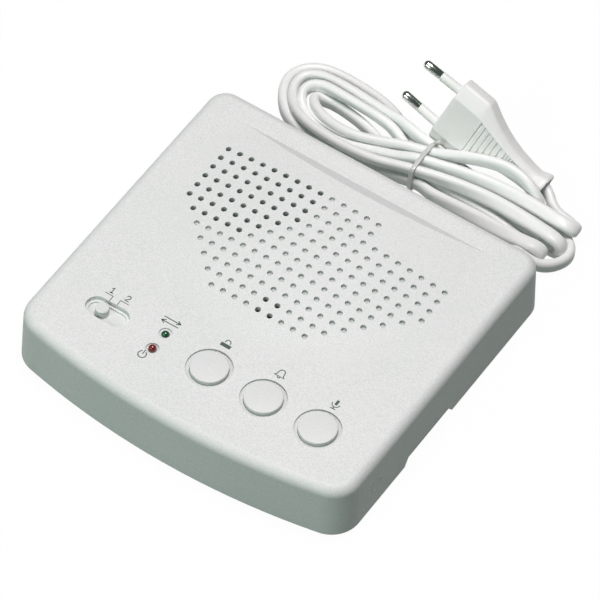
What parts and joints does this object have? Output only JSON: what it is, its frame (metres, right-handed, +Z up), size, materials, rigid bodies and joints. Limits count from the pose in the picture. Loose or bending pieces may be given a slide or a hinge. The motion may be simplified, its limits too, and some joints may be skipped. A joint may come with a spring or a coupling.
{
  "type": "wireless intercom",
  "caption": "Low desk intercom that talks over the mains wiring: domed dotted lid over a loudspeaker, round push buttons, channel switch, two lamps, folded mains lead with flat plug.",
  "frame": {"origin": "on the desk under the middle of the case outline, on the soles of the rubber feet", "axes": "+X to the right along the row of buttons, +Y to the rear where the mains lead leaves, +Z up"},
  "size_m": [0.1575, 0.2113, 0.0376],
  "materials": {
    "case_plastic": "fine matt texture, pale grey-green white",
    "button_plastic": "satin, same colour as the case",
    "knob_plastic": "satin",
    "green_lens": "clear dyed plastic",
    "red_lens": "clear dyed plastic",
    "foot_rubber": "matt",
    "screw_steel": "zinc plated",
    "switch_black": "satin",
    "switch_plunger_white": "satin",
    "board_laminate": "phenolic paper laminate",
    "speaker_steel": "dull black",
    "speaker_paper": "pressed paper",
    "ferrite": "dull grey-black",
    "capsule_aluminium": "satin",
    "boot_rubber": "matt",
    "chip_epoxy": "moulded epoxy",
    "capacitor_sleeve": "shrink sleeve",
    "coil_can": "dull tinned",
    "resistor_lacquer": "lacquer",
    "film_epoxy": "dipped epoxy",
    "diode_epoxy": "moulded",
    "core_steel": "varnished sheet steel",
    "winding_tape": "polyester tape",
    "fuse_glass": "clear",
    "clip_brass": "tinned",
    "line_case": "satin",
    "terminal_plastic": "satin",
    "wire_insulation": "PVC",
    "cord_pvc": "smooth white PVC",
    "tie_plastic": "plastic coated wire",
    "plug_pvc": "smooth white PVC",
    "pin_brass": "nickel plated brass"
  },
  "bodies": {
    "case": {"top_cover": "case_plastic", "base_plate": "case_plastic", "rubber_feet": "foot_rubber", "case_screws": "screw_steel", "speaker_clamp_screws": "screw_steel", "board_screws": "screw_steel", "lock_switch_body": "switch_black", "call_switch_body": "switch_black", "talk_switch_body": "switch_black", "channel_switch_body": "switch_black", "in_use_lamp": "green_lens", "power_lamp": "red_lens", "main_board": "board_laminate", "speaker_frame": "speaker_steel", "speaker_cone": "speaker_paper", "speaker_magnet": "ferrite", "microphone_capsule": "capsule_aluminium", "microphone_boot": "boot_rubber", "integrated_circuits": "chip_epoxy", "electrolytic_capacitors": "capacitor_sleeve", "smoothing_capacitor": "capacitor_sleeve", "tuning_coils": "coil_can", "resistors": "resistor_lacquer", "film_capacitors": "film_epoxy", "rectifier_diodes": "diode_epoxy", "transformer_core": "core_steel", "transformer_winding": "winding_tape", "mains_fuse": "fuse_glass", "fuse_clips": "clip_brass", "line_coupling_coil": "ferrite", "line_capacitor": "line_case", "mains_terminal_block": "terminal_plastic", "inner_mains_wires": "wire_insulation", "speaker_wires": "wire_insulation", "microphone_wires": "wire_insulation", "cord_strain_relief": "cord_pvc", "mains_cord": "cord_pvc", "plug_lead": "cord_pvc", "cord_hank": "cord_pvc", "cord_tie": "tie_plastic", "plug_body": "plug_pvc", "plug_pins": "pin_brass"},
    "lock_button": {"lock_button": "button_plastic", "lock_switch_plunger": "switch_plunger_white"},
    "call_button": {"call_button": "button_plastic", "call_switch_plunger": "switch_plunger_white"},
    "talk_button": {"talk_button": "button_plastic", "talk_switch_plunger": "switch_plunger_white"},
    "channel_slider": {"channel_slider": "knob_plastic", "channel_switch_lever": "switch_plunger_white"}
  },
  "joints": [
    {"name": "lock_button_press", "type": "slide", "parent": "case", "child": "lock_button", "axis": [0, 0, -1], "range_m": [0, 0.001], "stiffness_N_per_m": 400, "springref_m": -0.0005},
    {"name": "call_button_press", "type": "slide", "parent": "case", "child": "call_button", "axis": [0, 0, -1], "range_m": [0, 0.001], "stiffness_N_per_m": 400, "springref_m": -0.0005},
    {"name": "talk_button_press", "type": "slide", "parent": "case", "child": "talk_button", "axis": [0, 0, -1], "range_m": [0, 0.001], "stiffness_N_per_m": 400, "springref_m": -0.0005},
    {"name": "channel_slide", "type": "slide", "parent": "case", "child": "channel_slider", "axis": [1, 0, 0], "range_m": [0, 0.004]}
  ]
}
